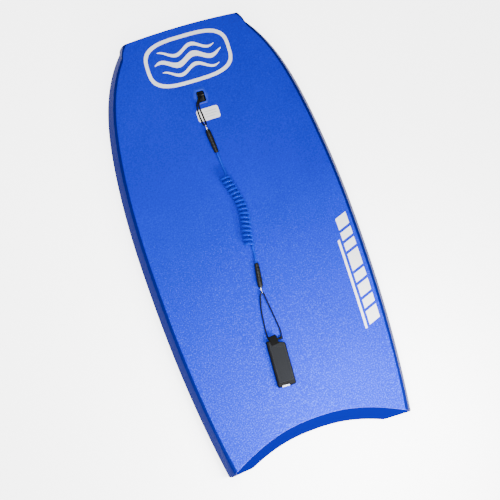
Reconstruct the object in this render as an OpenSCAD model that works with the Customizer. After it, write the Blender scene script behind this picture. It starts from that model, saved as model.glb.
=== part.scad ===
// Bodyboard with a crescent tail, a screw-in leash plug and a coiled wrist leash.
// X runs across the board, +Y points to the nose and Z = 0 is the flat of the bottom sheet.

/* [Board] */
// Length over the nose and the tail tips
board_len = 1080; // [1000:10:1150]
// Widest point, over both rails
board_w = 556; // [520:2:580]
// Width at the nose corners
nose_w = 322; // [300:2:330]
// Width at the tail tips
tail_w = 482; // [460:2:490]
// Thickness between the deck edge and the bottom
thick = 54; // [50:1:58]
// How far the nose lifts above the flat
nose_lift = 45; // [35:1:50]
// Extra height of the deck along the centre line
crown = 2; // [1:0.5:3]

/* [Ends] */
// Depth of the crescent cut, on the deck
crescent = 68; // [55:1:75]
// How much further back the tail wall reaches on the bottom than on the deck
tail_bevel = 32; // [25:1:38]
// How far the nose edge bows forward between its corners
nose_bow = 6; // [3:1:9]
// Radius of the nose corners, seen from above
nose_corner = 12; // [8:1:14]
// Radius of the tail tips, seen from above
tail_corner = 5; // [3:1:8]

/* [Layers] */
// Thickness of the textured deck sheet
deck_t = 5; // [4:0.5:6]
// Thickness of the slick bottom sheet
slick_t = 2; // [1.5:0.5:3]
// Thickness of the strips that wrap the rails, the nose and the tail
strip_t = 5; // [4:0.5:6]

/* [Leash] */
// Distance of the plug from the board's middle
plug_y = 362; // [358:1:368]
// Length of the plug's six-sided plate
plug_af = 41; // [38:1:44]
// Diameter of the blue leash cord
cord_d = 5.5; // [5:0.5:6]
// Outer diameter of the coiled stretch
coil_od = 27; // [25:1:29]
// Diameter of the black string
string_d = 4; // [3.6:0.2:4.2]
// Width of the wrist cuff
cuff_w = 45; // [42:1:48]
// Length of the folded wrist cuff
cuff_len = 108; // [102:1:110]

/* [Hidden] */
$fn = 48;

deck_blue = "royalblue";
rail_blue = "navy";
tail_blue = "mediumblue";
leash_blue = "dodgerblue";

// ---- the board's shape -------------------------------------------------------------------
half_len = board_len / 2;
wide_y = 10;            // where the outline is widest
rocker_y = 120;         // the bottom is flat behind this line
rocker_power = 2.2;
rail_z = thick / 2;     // height of the rail's widest line
chine_w = 14;           // how far the deck edge stands in from the widest line
under_w = 12;           // how far the bottom edge stands in from it
side_w = 24;            // the foam core stops this far in from the outline
glue = 0.1;             // what lies behind a rail strip starts this much further in
nose_bevel = 3;

spans = 36;             // stations along the board, less one
half_cols = 7;          // columns on each half of a sheet

function mix(a, b, t) = a + (b - a) * t;

// Half width of the outline at y: one power curve to the tail, two to the nose.
function outline(y) =
    y < wide_y
        ? board_w / 2 - (board_w - tail_w) / 2 * pow((wide_y - y) / (wide_y + half_len), 2.3)
        : let (t = (y - wide_y) / (half_len - wide_y))
          board_w / 2 - (board_w - nose_w) / 2 * (0.53 * pow(t, 2) + 0.47 * pow(t, 7));

// Lift of the bottom at y.
function rocker(y) = nose_lift * pow(max(0, (y - rocker_y) / (half_len - rocker_y)), rocker_power);
function rocker_slope(y) =
    atan(nose_lift * rocker_power / (half_len - rocker_y)
         * pow(max(0, (y - rocker_y) / (half_len - rocker_y)), rocker_power - 1));

// How far a corner of radius r, in an end w wide, falls back at x.
function corner_cut(x, w, r) = r - sqrt(pow(r, 2) - pow(min(r, max(0, abs(x) - w / 2 + r)), 2));
// Depth of the tail's wall at x, z: a cosine crescent, sawn at a slant and stopped at the tips.
function tail_cut(x, z) =
    let (u = min(1, abs(x) / (tail_w / 2)))
    corner_cut(x, tail_w, tail_corner)
    + max(0, crescent * cos(90 * pow(u, 1.15)) - tail_bevel * (1 - z / thick));
function nose_cut(x, z) =
    corner_cut(x, nose_w, nose_corner) + nose_bow * pow(x / (nose_w / 2), 2) + nose_bevel * z / thick;

// The deck's crown at x where the half width of the deck is w.
function crowned(x, w) = crown * (1 - pow(min(1, abs(x) / w), 2));
function deck_z(x, y) = thick + rocker(y) + crowned(x, outline(y) - chine_w - strip_t);

// x of the line between the rail strips and what they wrap, measured in from the outline.
function behind_strip(z) =
    strip_t + 1 + (z > rail_z ? chine_w * (z - rail_z) / (thick - rail_z) : under_w * (rail_z - z) / rail_z);

// Station i runs from the tail's wall to the nose's wall; 0 and spans are the outer faces, and
// 1 and spans - 1 are the inner faces of the end strips.
function station_y(i, x, z) =
    let (tail = -half_len + tail_cut(x, z), nose = half_len - nose_cut(x, z))
    i == 0 ? tail
    : i == spans ? nose
    : mix(tail + strip_t, nose - strip_t, (i - 1) / (spans - 2));
function station_ref(i) =
    i == 0 ? -half_len : i == spans ? half_len
    : mix(-half_len + strip_t, half_len - strip_t, (i - 1) / (spans - 2));

// A section point is [inset from the outline, z]; a column with inset undef is a share of the core.
function board_point(i, share, inset, z, crowns) =
    let (w = outline(station_ref(i)), side = share < 0 ? -1 : 1,
         x = inset == undef ? share * (w - side_w) : side * (w - inset),
         y = station_y(i, x, z))
    [x, y, z + rocker(y) + (crowns ? crowned(x, w - chine_w - strip_t) : 0)];

core_cols = [for (k = [-half_cols:half_cols]) [k / half_cols, undef]];
// The same columns with one more at each end, inset by a from the outline.
function wide_cols(a) = concat([[-1, a]], core_cols, [[1, a]]);
function row(i, cols, z, crowns) = [for (c = cols) board_point(i, c[0], c[1], z, crowns)];
function flip(v) = [for (k = [len(v) - 1:-1:0]) v[k]];

// Closed skin over equal loops of points: triangles along the sides, and caps zipped from
// the loop's first half to its second. The halves' diagonals mirror each other, so that one
// sheet's underside matches the next sheet's top.
module loft(loops) {
    n = len(loops[0]);
    m = len(loops);
    pts = [for (l = loops) each l];
    sides = [for (i = [0:m - 2], k = [0:n - 1])
        let (a = i * n + k, b = i * n + (k + 1) % n)
        each k < n / 2 ? [[a, b, b + n], [a, b + n, a + n]] : [[a, b, a + n], [b, b + n, a + n]]];
    caps = [for (k = [0:n / 2 - 2])
        let (a = k, b = k + 1, c = n - 2 - k, d = n - 1 - k, e = (m - 1) * n)
        each [[a, c, b], [a, d, c], [e + a, e + b, e + c], [e + a, e + c, e + d]]];
    polyhedron(pts, concat(sides, caps));
}

// A sheet between two heights over stations a to b.
module sheet(a, b, top_cols, top_z, bottom_cols, bottom_z, top_crown, bottom_crown) {
    loft([for (i = [a:b]) concat(row(i, top_cols, top_z, top_crown),
                                 flip(row(i, bottom_cols, bottom_z, bottom_crown)))]);
}

// A rail piece on the right side over stations a to b, from its corners as [inset, z].
module rail_piece(corners, a = 0, b = spans) {
    loft([for (i = [a:b]) [for (c = corners) board_point(i, 1, c[0], c[1], false)]]);
}

// Section between a rail strip pair and the foam core.
side_section = [for (c = [[undef, thick - deck_t], [0, thick - deck_t], [0, rail_z + 1],
                          [0, rail_z - 1], [0, slick_t], [undef, slick_t]])
    [c[0] == undef ? side_w : behind_strip(c[1]) + glue, c[1]]];

// ---- places ------------------------------------------------------------------------------
plug_x = -4;            // the plug sits a little off the centre line
plug_tilt = rocker_slope(plug_y);
plug_depth = (thick + crown) * cos(plug_tilt);
plug_reach = 16;        // depth of the plug's housing below the deck
housing_d = 36;
sleeve_d = 26;
stem_d = 16;
fit_gap = 0.05;
bar_d = 4.4;
bar_at = [2, -5];       // the bar's y and z in the plug
pocket = [20, 28, 13];
pocket_y = -2.5;
pocket_r = 6;
plate_up = 3;           // the plate stands this proud of the deck
plate_in = 1;

stringer_d = 10;
stringer_end = 325;
stringer_start = -470;
stringer_z = 26;
cap_len = 8;

label_size = [57, 31, 0.4];
label_y = 314;

swivel_yaw = [4.5, 170.7];
swivel_pitch = [3.4, 0];
swivel_at = [[-17, 275, 68.4], [-21, -135, 63.3]];
grip_len = 61;

cuff_at = [-39.5, -378, 56.1];
cuff_turn = -4;
cuff_skew = 16;         // the cuff's end is cut off square by this angle
fold_y = 6.5;           // the fold's axis
pad_t = 7;
patch_t = 1.4;
hook_t = 1.2;
patch_gap = 0.4;
web_t = 1.4;
tab_t = 2.8;
hook_z = pad_t + patch_t + patch_gap;
flap_z = hook_z + hook_t;
fold_r = (flap_z + pad_t) / 2;
anchor_y = 113.5;       // where the string crosses the cuff's loop
anchor_z = 4.5;

module at_plug() translate([plug_x, plug_y, deck_z(0, plug_y)]) rotate([plug_tilt, 0, 0]) children();
module at_swivel(k) translate(swivel_at[k]) rotate([swivel_pitch[k], 0, swivel_yaw[k]]) children();
module at_cuff() translate(cuff_at) rotate([0, 0, cuff_turn]) children();
// Turns a shape drawn along Z to lie along Y.
module along_y() rotate([-90, 0, 0]) children();
module slab(w, l, h, r) linear_extrude(h) rounded(w, l, r);
module rounded(w, l, r) {
    square([w - 2 * r, l], center = true);
    square([w, l - 2 * r], center = true);
    for (x = [-1, 1], y = [-1, 1]) translate([x * (w / 2 - r), y * (l / 2 - r)]) circle(r);
}

// ---- board -------------------------------------------------------------------------------
module plug_hole(gap) {
    at_plug() {
        translate([0, 0, -plug_reach - gap]) cylinder(d = housing_d + 2 * gap, h = plug_reach + 10);
        translate([0, 0, -plug_depth - 8]) cylinder(d = sleeve_d + 2 * gap, h = plug_depth + 8);
    }
}

module stringer_bore() {
    translate([0, -half_len - 1, stringer_z]) along_y()
        cylinder(d = stringer_d + 2 * fit_gap, h = stringer_end + half_len + 1);
}

module foam_core() {
    color("whitesmoke") difference() {
        sheet(1, spans - 1, core_cols, thick - deck_t, core_cols, slick_t, true, false);
        plug_hole(0.1);
        stringer_bore();
    }
}

module deck_skin() {
    color(deck_blue) difference() {
        sheet(0, spans, wide_cols(behind_strip(thick) + glue), thick,
              wide_cols(behind_strip(thick - deck_t) + glue), thick - deck_t, true, true);
        plug_hole(0.1);
        at_plug() translate([0, 0, -plate_in - 0.1]) hex_plate(plug_af + 0.4, 20);
    }
}

module slick_bottom() {
    color("midnightblue") difference() {
        sheet(0, spans, wide_cols(behind_strip(slick_t) + glue), slick_t,
              wide_cols(behind_strip(0) + glue), 0, false, false);
        plug_hole(0.1);
    }
}

// A strip across one end, over stations a to b, from rail strip to rail strip.
module end_strip(a, b) {
    sheet(a, b, core_cols, thick - deck_t, core_cols, slick_t, true, false);
    rail_piece(side_section, a, b);
    mirror([1, 0, 0]) rail_piece(side_section, a, b);
}
module tail_strip() color(tail_blue) end_strip(0, 1);
module nose_strip() color(rail_blue) end_strip(spans - 1, spans);

// A rail strip's hidden face, at the heights where what lies behind it has its edges.
function strip_face(heights) = [for (z = heights) [behind_strip(z), z]];
module rail_upper_right() {
    face = strip_face([rail_z, rail_z + 1, thick - deck_t]);
    color(rail_blue) rail_piece(concat([[behind_strip(thick), thick], [chine_w, thick], [0, rail_z]], face));
}
module rail_lower_right() {
    face = strip_face([0, slick_t, rail_z - 1, rail_z]);
    color(rail_blue) rail_piece(concat(face, [[0, rail_z], [under_w, 0]]));
}
module rail_core_right() {
    inner = [for (c = side_section) [min(c[0], side_w - glue), c[1]]];
    color("lightgray") rail_piece(inner, 1, spans - 1);
}
module rail_upper_left() mirror([1, 0, 0]) rail_upper_right();
module rail_lower_left() mirror([1, 0, 0]) rail_lower_right();
module rail_core_left() mirror([1, 0, 0]) rail_core_right();

module stringer_tube() {
    len = stringer_end - stringer_start - cap_len;
    color("dimgray") translate([0, stringer_start, stringer_z]) along_y() difference() {
        cylinder(d = stringer_d, h = len);
        translate([0, 0, -1]) cylinder(d = stringer_d - 3, h = len + 2);
    }
}

// A domed cap with a spigot in each end of the tube.
module stringer_caps() {
    profile = [[0, -6], [stringer_d / 2 - 1.55, -6], [stringer_d / 2 - 1.55, 0],
               [stringer_d / 2, 0], [stringer_d / 2, 4], [stringer_d / 2 - 3, cap_len], [0, cap_len]];
    color("black") {
        translate([0, stringer_end - cap_len, stringer_z]) along_y() rotate_extrude() polygon(profile);
        translate([0, stringer_start, stringer_z]) rotate([90, 0, 0]) rotate_extrude() polygon(profile);
    }
}

// ---- leash plug --------------------------------------------------------------------------
// Outline of the six-sided plate, len long, with its widest corners at the middle.
function hex_outline(len, z) =
    [for (c = [[0.61, 1], [0.951, 0], [0.61, -1], [-0.61, -1], [-0.951, 0], [-0.61, 1]])
        [c[0] * len / 2, c[1] * len / 2, z]];
module hex_plate(len, h) linear_extrude(h) polygon([for (p = hex_outline(len, 0)) [p[0], p[1]]]);

module plug_top() {
    slope = 5;          // drop of the plate's edge facets
    color(deck_blue) at_plug() difference() {
        union() {
            loft([hex_outline(plug_af, -plate_in), hex_outline(plug_af, 0.8),
                  hex_outline(plug_af - slope, plate_up)]);
            translate([0, 0, -plug_reach]) cylinder(d = housing_d, h = plug_reach);
            translate([0, 0, -plug_depth + 8]) cylinder(d = stem_d, h = plug_depth - 8);
        }
        translate([0, pocket_y, -pocket.z]) slab(pocket.x, pocket.y, 30, pocket_r);
        bar_bore();
    }
}

module bar_bore() {
    translate([-pocket.x / 2 - 3, bar_at.x, bar_at.y]) rotate([0, 90, 0])
        cylinder(d = bar_d + 2 * fit_gap, h = pocket.x + 6);
}

module plug_bar() {
    color("black") at_plug() translate([-pocket.x / 2 - 2.9, bar_at.x, bar_at.y]) rotate([0, 90, 0])
        cylinder(d = bar_d, h = pocket.x + 5.8);
}

module plug_base() {
    flange = 3;
    color(rail_blue) at_plug() translate([0, 0, -plug_depth]) difference() {
        union() {
            translate([0, 0, -flange - 0.2]) cylinder(d1 = 40, d2 = 44, h = flange);
            translate([0, 0, -1]) cylinder(d = sleeve_d, h = plug_depth - plug_reach - 1);
        }
        translate([0, 0, 3]) cylinder(d = stem_d + 2 * fit_gap, h = plug_depth);
    }
}

module deck_label() {
    color("white") translate([0, label_y, deck_z(0, label_y) + 0.15]) rotate([rocker_slope(label_y), 0, 0])
        slab(label_size.x, label_size.y, label_size.z, 5);
}

// ---- cords -------------------------------------------------------------------------------
function unit(v) = v / norm(v);
function tangent(p, i) = unit(p[min(i + 1, len(p) - 1)] - p[max(i - 1, 0)]);
function ring(c, t, r, n) =
    let (s = unit(cross(t, [0, 0, 1])), u = cross(s, t))
    [for (k = [0:n - 1]) c + r * (cos(360 * k / n) * s + sin(360 * k / n) * u)];
module tube(p, r, n) loft([for (i = [0:len(p) - 1]) ring(p[i], tangent(p, i), r, n)]);

// Routes, as points on the cords' centre lines.
string_upper_route = [
    [-8.6, 361.5, 70.6], [-11, 357.5, 73.3], [-15, 352, 74.2], [-20.5, 344, 73.2], [-23, 334, 70.2],
    [-23.6, 324, 68.2], [-23.4, 314, 67], [-22.8, 303, 66.5], [-22.2, 294, 67.6], [-21.3, 289, 68.8],
    [-17.9, 286.8, 69.1], [-14.5, 289.3, 69], [-14.2, 295, 67.9], [-14.6, 303, 66.5], [-15.4, 314, 67],
    [-16.4, 325, 68.2], [-17.2, 335, 70.2], [-15.5, 344.5, 73.2], [-10, 352, 73.4], [-4.2, 360, 70.2]];
cord_upper_route = [[-12.2, 214, 64.8], [-11.2, 202, 63.6], [-10, 188, 61.2], [-9, 172, 59.7],
                    [-8.2, 160, 59.2], [-8, 150, 59.1]];
coil_route = [[-16.5, 152, 69.8], [-9.5, 122, 69.7], [-3, 97, 69.7], [0.5, 75, 69.7], [1, 54, 69.7],
              [-2, 34, 69.7], [-7, 14, 69.7], [-11, -6, 69.7], [-14.5, -30, 69.7]];
cord_lower_route = [[-7.4, -28, 60.2], [-6.2, -38, 59.6], [-7, -48, 60], [-8.8, -60, 61.8],
                    [-10.2, -69, 63], [-11.2, -74.5, 63.3]];
string_lower_route = [
    [-13.5, -264.6, 60.9], [-10.6, -256, 60.2], [-9.8, -246, 58.8], [-10.6, -232, 58.2], [-12, -216, 58.2],
    [-13.6, -200, 58.2], [-15.2, -184, 58.6], [-17, -169, 60], [-18.3, -157, 61.9], [-19.5, -149.6, 63],
    [-22.9, -146.6, 63.3], [-26.4, -148.6, 63], [-29, -155, 62], [-31.8, -164, 60.6], [-35.4, -178, 58.8],
    [-38.6, -193, 58.2], [-41, -210, 58.2], [-43, -226, 58.2], [-44.6, -240, 58.6], [-45.4, -250, 59.4],
    [-45.3, -258.3, 60.3], [-44.5, -261.4, 60.5], [-42.2, -263.6, 60.6], [-39.2, -264.4, 60.6],
    [-30, -265, 60.6], [-18.6, -265.8, 60.6]];

module string_upper() color("black") tube(string_upper_route, string_d / 2, 8);
module string_lower() color("black") tube(string_lower_route, string_d / 2, 8);
module cord_upper() color(leash_blue) tube(cord_upper_route, cord_d / 2, 10);
module cord_lower() color(leash_blue) tube(cord_lower_route, cord_d / 2, 10);
module leash_coil() color(leash_blue) tube(coil_route, coil_od / 2, 12);

// The knot that joins the lower string's two ends, as a plain lump.
module string_knot() {
    color("black") translate([-14.6, -266, 60.6]) rotate([0, 90, -4]) rotate_extrude()
        polygon([[0, -5], [2.4, -5], [3.8, -3.4], [4.3, -1], [4.3, 1.2], [3.6, 3.4], [2.2, 4.8], [0, 4.8]]);
}

// Three turns of the string round the plug's bar.
module string_hitch() {
    color("black") at_plug() translate([0, bar_at.x, bar_at.y]) rotate([0, 90, 0])
        for (x = [-4.6, 0, 4.6])
            translate([0, 0, x]) rotate_extrude() translate([(bar_d + string_d) / 2, 0]) circle(d = string_d);
}

// ---- swivels and grips -------------------------------------------------------------------
neck_r = 1.05;
barrel = [0.6, 7.4];    // the barrel's ends along the swivel's axis
barrel_wall = 1;
eye_at = 11.8;
eye_r = 3.4;
eye_wire = 0.95;

module swivel_barrel() {
    color("silver") along_y() rotate_extrude() polygon([
        [neck_r + fit_gap, barrel[0]], [2.5, barrel[0]], [2.9, barrel[0] + 0.8], [2.9, barrel[1] - 1.6],
        [2, barrel[1]], [neck_r + fit_gap, barrel[1]], [neck_r + fit_gap, barrel[1] - barrel_wall],
        [2.05, barrel[1] - barrel_wall - 0.5], [2.05, barrel[0] + barrel_wall],
        [neck_r + fit_gap, barrel[0] + barrel_wall]]);
}

module swivel_pin() {
    color("silver") along_y() rotate_extrude() polygon([
        [0, -12], [1.5, -12], [1.5, 0.2], [neck_r, 0.2], [neck_r, barrel[0] + barrel_wall + 0.3],
        [1.7, barrel[0] + barrel_wall + 0.3], [1.7, 3.2], [0, 3.2]]);
}

module swivel_eye() {
    color("silver") {
        along_y() rotate_extrude() polygon([
            [0, 4.6], [1.5, 4.6], [1.5, 5.8], [neck_r, 6.1], [neck_r, eye_at - eye_r], [0, eye_at - eye_r]]);
        translate([0, eye_at, 0]) rotate([0, 90, 0]) rotate_extrude() translate([eye_r, 0]) circle(eye_wire);
    }
}

// Moulded strain relief: a spindle with a row of flex slots above and below.
module grip() {
    slots = 5;
    color("black") difference() {
        along_y() rotate_extrude() polygon([
            [0, -grip_len], [4.6, -grip_len], [5.4, -grip_len + 2], [6.5, -44], [7, -24],
            [7.1, -12], [6.6, -5], [5.2, -0.6], [4.4, 0], [0, 0]]);
        along_y() translate([0, 0, -12]) cylinder(r = 1.5, h = 13);
        for (k = [0:slots - 1], turn = [0, 180])
            rotate([0, turn, 0]) translate([0, -grip_len + 12 + 8 * k, 5 + 0.14 * k]) slab(5, 2.6, 4, 1.2);
    }
}

module swivel_barrel_upper() at_swivel(0) swivel_barrel();
module swivel_barrel_lower() at_swivel(1) swivel_barrel();
module swivel_pin_upper() at_swivel(0) swivel_pin();
module swivel_pin_lower() at_swivel(1) swivel_pin();
module swivel_eye_upper() at_swivel(0) swivel_eye();
module swivel_eye_lower() at_swivel(1) swivel_eye();
module grip_upper() at_swivel(0) grip();
module grip_lower() at_swivel(1) grip();

// ---- wrist cuff --------------------------------------------------------------------------
// Points on a circle about c from angle a to b.
function arc(c, r, a, b) = [for (k = [0:4]) c + r * [cos(mix(a, b, k / 4)), sin(mix(a, b, k / 4))]];

// A cuff layer from y = from to the skewed end at y = to, with rounded corners at the end.
module layer(w, from, to, z, h, r) {
    half = w / 2 - r;
    mid = to - r / cos(cuff_skew);
    at_cuff() translate([0, 0, z]) linear_extrude(h) polygon(concat(
        [[-w / 2, from], [w / 2, from]],
        arc([half, mid - half * tan(cuff_skew)], r, 0, 90 - cuff_skew),
        arc([-half, mid + half * tan(cuff_skew)], r, 90 - cuff_skew, 180)));
}

// A sleeve of a turn's part about the fold's axis, from straight up towards the tail.
module round_fold(w, r, t, start, sweep) {
    at_cuff() translate([0, fold_y, fold_r]) rotate([180 + start, 0, 0]) rotate([0, 90, 0])
        rotate_extrude(angle = sweep) translate([r, -w / 2]) square([t, w]);
}

module cuff_base() color("black") layer(cuff_w, fold_y, cuff_len, 0, pad_t, 4);
module cuff_fold() color("black") round_fold(cuff_w, fold_r - pad_t, pad_t, 0, 180);
module cuff_loop_patch() color("dimgray") layer(cuff_w - 6, fold_y + 4, cuff_len - 3, pad_t, patch_t, 3);
module cuff_hook_patch() color("gray") layer(cuff_w - 8, 36, cuff_len - 4, hook_z, hook_t, 3);
module cuff_flap() color("black") layer(cuff_w, fold_y, cuff_len, flap_z, pad_t, 4);
module cuff_webbing() {
    color("darkslategray") layer(cuff_w - 7, fold_y + 2, cuff_len - 1.5, flap_z + pad_t, web_t, 3);
}
module cuff_tab() {
    color("black") at_cuff() translate([-5, 112.5, flap_z + pad_t + web_t]) rotate(10)
        slab(20, 23, tab_t, 1.5);
}

// A blank woven tag round the outside of the fold.
module cuff_label() color("white") translate([-4, 0.3, 0]) round_fold(18, fold_r + 0.05, 0.5, 35, 47);

// A short loop of webbing at the cuff's end that holds the string.
module cuff_anchor() {
    color("black") at_cuff() difference() {
        translate([0, 0, anchor_z - 3.7]) linear_extrude(7.4) polygon([
            [-8, cuff_len + 8 * tan(cuff_skew)], [5, cuff_len - 5 * tan(cuff_skew)],
            [5, anchor_y + 4], [-8, anchor_y + 4]]);
        translate([-20, anchor_y, anchor_z]) rotate([0, 90, 0]) cylinder(d = string_d + 1.2, h = 40);
    }
}

foam_core();
deck_skin();
slick_bottom();
tail_strip();
nose_strip();
rail_upper_left();
rail_upper_right();
rail_lower_left();
rail_lower_right();
rail_core_left();
rail_core_right();
stringer_tube();
stringer_caps();
plug_top();
plug_bar();
plug_base();
deck_label();
string_hitch();
string_upper();
swivel_eye_upper();
swivel_barrel_upper();
swivel_pin_upper();
grip_upper();
cord_upper();
leash_coil();
cord_lower();
grip_lower();
swivel_pin_lower();
swivel_barrel_lower();
swivel_eye_lower();
string_lower();
string_knot();
cuff_anchor();
cuff_base();
cuff_fold();
cuff_loop_patch();
cuff_hook_patch();
cuff_flap();
cuff_webbing();
cuff_tab();
cuff_label();
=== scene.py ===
"""Looks of the bodyboard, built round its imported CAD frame. Shapes are in millimetres here."""
import math
import bmesh
import bpy
import numpy as np
from mathutils import Matrix, Vector, noise


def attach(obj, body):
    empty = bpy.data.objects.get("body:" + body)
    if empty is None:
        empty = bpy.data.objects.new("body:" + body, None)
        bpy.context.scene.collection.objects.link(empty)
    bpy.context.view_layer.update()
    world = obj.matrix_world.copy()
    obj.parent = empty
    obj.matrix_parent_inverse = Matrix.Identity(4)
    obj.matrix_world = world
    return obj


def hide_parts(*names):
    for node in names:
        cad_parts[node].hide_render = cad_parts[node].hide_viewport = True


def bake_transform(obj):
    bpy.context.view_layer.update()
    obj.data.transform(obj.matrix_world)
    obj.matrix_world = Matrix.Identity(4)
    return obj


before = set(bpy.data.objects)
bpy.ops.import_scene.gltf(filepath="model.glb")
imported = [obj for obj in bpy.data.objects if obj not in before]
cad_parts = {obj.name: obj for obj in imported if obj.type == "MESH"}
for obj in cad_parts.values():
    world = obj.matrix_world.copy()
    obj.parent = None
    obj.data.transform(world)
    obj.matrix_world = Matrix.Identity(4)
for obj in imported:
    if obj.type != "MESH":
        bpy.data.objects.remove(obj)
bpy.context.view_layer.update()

MM = 0.001

# ---- camera ----
camera = bpy.data.objects.new("camera", bpy.data.cameras.new("camera"))
bpy.context.scene.collection.objects.link(camera)
bpy.context.scene.camera = camera
toward = Vector((0.2048, 0.1027, -0.9734)).normalized()
rightward = Vector((0.9297, -0.3315, 0.1606)).normalized()
upward = rightward.cross(toward).normalized()
camera.matrix_world = Matrix.Translation((-0.6144, -0.3082, 2.9502)) @ Matrix(
    (rightward, upward, -toward)).transposed().to_4x4()
camera.data.sensor_width = 36
camera.data.lens = 87.35
camera.data.shift_x = 0.0036
camera.data.shift_y = -0.0298
camera.data.clip_start = 0.05
camera.data.clip_end = 50


# ---- node materials ----
class Finish:
    """A Principled material with helpers that add and join nodes."""

    def __init__(self, name, color=(0.5, 0.5, 0.5), roughness=0.5, **sockets):
        self.material = bpy.data.materials.new(name)
        self.material.use_nodes = True
        self.tree = self.material.node_tree
        self.shader = next(n for n in self.tree.nodes if n.type == "BSDF_PRINCIPLED")
        self.shader.inputs["Base Color"].default_value = (*color, 1)
        self.shader.inputs["Roughness"].default_value = roughness
        for key, value in sockets.items():
            socket = self.shader.inputs[key.replace("_", " ")]
            socket.default_value = (*value, 1) if isinstance(value, tuple) else value
        self.material.diffuse_color = (*color, 1)

    def add(self, kind, inputs=None, **settings):
        node = self.tree.nodes.new("ShaderNode" + kind)
        for key, value in settings.items():
            setattr(node, key, value)
        for key, value in (inputs or {}).items():
            self.put(node.inputs[key], value)
        return node

    def put(self, socket, value):
        if isinstance(value, bpy.types.NodeSocket):
            self.tree.links.new(value, socket)
        elif isinstance(value, tuple) and len(value) == 3 and socket.type == "RGBA":
            socket.default_value = (*value, 1)
        else:
            socket.default_value = value

    def where(self, scale=(1, 1, 1), turn=(0, 0, 0), kind="Object"):
        point = self.add("TexCoord").outputs[kind]
        return self.add("Mapping", {"Vector": point, "Scale": scale, "Rotation": turn}).outputs[0]

    def noise(self, scale, detail=3, rough=0.5, at=None):
        return self.add("TexNoise", {"Vector": at or self.where(), "Scale": scale, "Detail": detail,
                                     "Roughness": rough}).outputs["Fac"]

    def cells(self, scale, feature="F1", smooth=0.4):
        node = self.add("TexVoronoi", {"Vector": self.where(), "Scale": scale}, feature=feature)
        if feature == "SMOOTH_F1":
            node.inputs["Smoothness"].default_value = smooth
        return node.outputs["Distance"]

    def wave(self, scale, at, direction="X"):
        return self.add("TexWave", {"Vector": at, "Scale": scale}, bands_direction=direction).outputs["Fac"]

    def height(self):
        return self.add("SeparateXYZ", {"Vector": self.where()}).outputs["Z"]

    def math(self, operation, a, b):
        node = self.add("Math", operation=operation)
        self.put(node.inputs[0], a)
        self.put(node.inputs[1], b)
        return node.outputs[0]

    def span(self, value, low, high, new_low, new_high):
        return self.add("MapRange", {"Value": value, "From Min": low, "From Max": high,
                                     "To Min": new_low, "To Max": new_high}).outputs[0]

    def mix(self, factor, a, b):
        """A colour between a and b. A Mix node's colour sockets are inputs 6 and 7 and output 2."""
        node = self.add("Mix", data_type="RGBA")
        self.put(node.inputs[0], factor)
        self.put(node.inputs[6], a)
        self.put(node.inputs[7], b)
        return node.outputs[2]

    def color(self, value):
        self.put(self.shader.inputs["Base Color"], value)

    def rough(self, value):
        self.put(self.shader.inputs["Roughness"], value)

    def bump(self, height, distance):
        inputs = {"Height": height, "Distance": distance, "Strength": 1.0}
        self.put(self.shader.inputs["Normal"], self.add("Bump", inputs).outputs[0])


def foam(name, color, roughness, grain, depth, contrast, tint, specular, painted_glints=None):
    """Skinned foam: soft clouds of colour, a pebbled skin, and painted glints, which are light flecks that grow
    towards the tail where the lamps' sheen falls.
    """
    f = Finish(name, color, roughness, Specular_IOR_Level=specular, Specular_Tint=tint)
    dark, light = (tuple(c * (1 + k * contrast) for c in color) for k in (-1, 1))
    cloud = f.span(f.noise(7, 5, 0.6), 0.3, 0.7, 0.25, 0.75)
    fine = f.span(f.noise(grain * 0.45, 3, 0.65), 0.32, 0.68, 0, 1)
    grains = f.math("ADD", f.math("MULTIPLY", cloud, 0.45), f.math("MULTIPLY", fine, 0.55))
    base = f.mix(grains, dark, light)
    # Painted glints: light flecks stand in for the sheen's glints and grow stronger towards the tail, where the
    # sheen is brightest.
    if painted_glints:
        y = f.add("SeparateXYZ", {"Vector": f.where()}).outputs["Y"]
        glint_spots = f.span(f.noise(310, 3, 0.65), 0.5, 0.68, 0, 1)
        base = f.mix(f.math("MULTIPLY", glint_spots, f.span(y, 0.15, -0.42, 0.08, 0.75)), base, painted_glints)
    f.color(base)
    pebbles = f.cells(grain, "SMOOTH_F1", smooth=0.5)
    f.rough(f.span(f.noise(grain * 0.3, 3), 0.3, 0.7, roughness - 0.07, roughness + 0.07))
    f.bump(f.math("ADD", pebbles, f.math("MULTIPLY", f.noise(grain * 0.5, 3), 1.4)), depth)
    return f


finish = {}
# The deck's light flecks are painted glints, stronger towards the tail.
finish["deck_foam"] = foam("deck_foam", (0.0042, 0.0105, 0.48), 0.55, 560, 0.00045, 0.30,
                           (0.03, 0.15, 1.0), 0.14, painted_glints=(0.050, 0.120, 0.80))
finish["rail_foam"] = foam("rail_foam", (0.0010, 0.0042, 0.110), 0.50, 900, 0.00005, 0.08,
                           (0.1, 0.25, 1.0), 0.04)
finish["tail_foam"] = foam("tail_foam", (0.0003, 0.0014, 0.120), 0.55, 900, 0.00005, 0.08,
                           (0.05, 0.2, 1.0), 0.0)

f = finish["slick_sheet"] = Finish("slick_sheet", (0.0015, 0.006, 0.16), 0.24, Specular_IOR_Level=0.5)
f.color(f.mix(f.noise(14, 4), (0.0012, 0.005, 0.14), (0.0022, 0.008, 0.19)))
scuff = f.noise(60, 5, 0.7, f.where((1, 0.06, 1)))
f.rough(f.span(scuff, 0.35, 0.75, 0.2, 0.36))
f.bump(f.math("ADD", f.noise(18, 2), f.math("MULTIPLY", scuff, 0.1)), 0.0004)

f = finish["core_foam"] = Finish("core_foam", (0.78, 0.78, 0.76), 0.8)
beads = f.cells(300)
f.color(f.mix(f.span(beads, 0, 0.9, 0, 1), (0.82, 0.82, 0.80), (0.62, 0.62, 0.60)))
f.bump(beads, 0.0004)

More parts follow.
